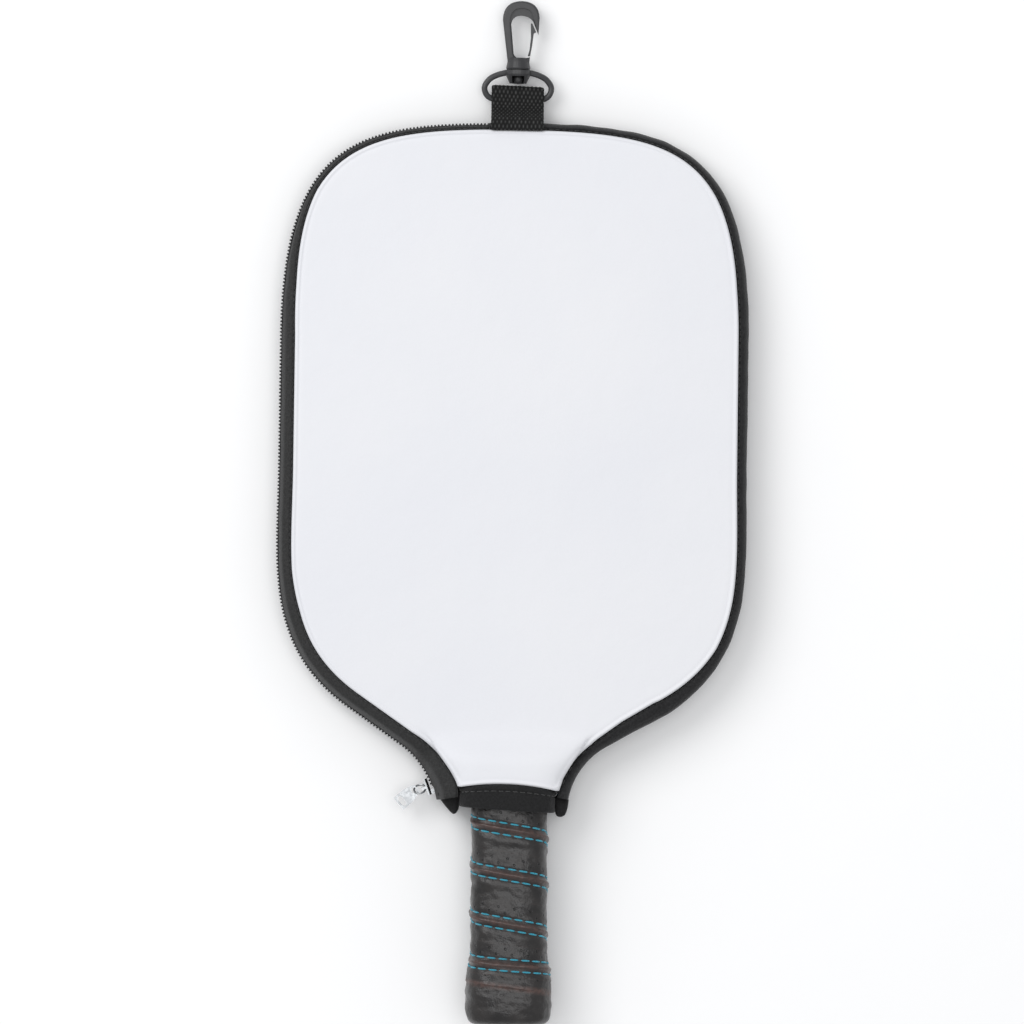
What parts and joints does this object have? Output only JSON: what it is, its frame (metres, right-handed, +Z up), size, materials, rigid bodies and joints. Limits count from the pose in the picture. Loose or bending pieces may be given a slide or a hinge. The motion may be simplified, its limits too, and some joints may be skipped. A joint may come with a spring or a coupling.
{
  "type": "paddle case",
  "caption": "Zipped neoprene racket paddle case with a webbing loop and swivel snap hook, closed around a paddle whose wrapped handle sticks out of the neck.",
  "frame": {"origin": "on the surface that the case lies on, under the middle of the whole object", "axes": "+Z up through the front panel, +Y from the handle towards the hook, +X to the right of the front"},
  "size_m": [0.2165, 0.4706, 0.0349],
  "materials": {
    "white_neoprene": "smooth knit-faced neoprene",
    "black_neoprene": "knit-faced neoprene",
    "black_tape": "woven polyester",
    "coil_nylon": "nylon coil",
    "zinc_metal": "nickel-plated zinc",
    "hook_plastic": "satin acetal",
    "black_webbing": "coarse woven webbing",
    "honeycomb": "polymer honeycomb",
    "carbon_face": "peel-ply carbon",
    "edge_rubber": "moulded",
    "foam": "closed-cell foam",
    "grip_leather": "perforated, stitched"
  },
  "bodies": {
    "root": {"back_panel": "black_neoprene", "front_panel_fixed": "white_neoprene", "right_gusset": "black_neoprene", "top_gusset_end": "black_neoprene", "back_zipper_tape": "black_tape", "back_zipper_coil": "coil_nylon", "front_neck_band_fixed": "black_tape", "back_neck_band": "black_tape", "zipper_end_stub": "black_tape", "gusset_end_stub": "black_tape", "webbing_loop": "black_webbing", "paddle_core": "honeycomb", "paddle_front_face": "carbon_face", "paddle_back_face": "carbon_face", "edge_guard": "edge_rubber", "handle_tang": "honeycomb", "handle_front_pallet": "foam", "handle_back_pallet": "foam", "grip_collar": "edge_rubber", "grip_wrap": "grip_leather", "butt_cap": "grip_leather"},
    "front_flap": {"front_panel_flap": "white_neoprene", "front_zipper_tape": "black_tape", "front_zipper_coil": "coil_nylon", "front_neck_band_flap": "black_tape"},
    "zipper_slider": {"slider_body": "zinc_metal"},
    "pull_link": {"pull_link_ring": "zinc_metal"},
    "pull": {"pull_tab": "zinc_metal"},
    "ring": {"swivel_ring": "hook_plastic"},
    "hook": {"snap_hook": "hook_plastic"},
    "gate": {"hook_gate": "hook_plastic"}
  },
  "joints": [
    {"name": "flap_fold", "type": "hinge", "parent": "root", "child": "front_flap", "pos_m": [-0.0126, 0.1795, 0.0209], "axis": [-0.074, 0.9961, -0.048], "range_deg": [0, 140]},
    {"name": "slider_travel", "type": "hinge", "parent": "root", "child": "zipper_slider", "pos_m": [-0.0712, -0.1395, 0.0105], "axis": [0, 0, 1], "range_deg": [0, 34]},
    {"name": "link_swing", "type": "hinge", "parent": "zipper_slider", "child": "pull_link", "pos_m": [-0.03887, -0.12773, 0.0105], "axis": [0, 0, 1], "range_deg": [-50, 50]},
    {"name": "pull_tilt", "type": "hinge", "parent": "pull_link", "child": "pull", "pos_m": [-0.04285, -0.12873, 0.0105], "axis": [0.1711, -0.6861, 0.7071], "range_deg": [-20, 20]},
    {"name": "ring_swing", "type": "hinge", "parent": "root", "child": "ring", "pos_m": [0, 0.1899, 0.007], "axis": [1, 0, 0], "range_deg": [-40, 60]},
    {"name": "hook_swivel", "type": "hinge", "parent": "ring", "child": "hook", "pos_m": [0, 0.2, 0.007], "axis": [0, 1, 0], "continuous": true},
    {"name": "gate_press", "type": "hinge", "parent": "hook", "child": "gate", "pos_m": [0.0049, 0.2099, 0.007], "axis": [0, 0, 1], "range_deg": [0, 18], "stiffness_Nm_per_rad": 0.05}
  ]
}
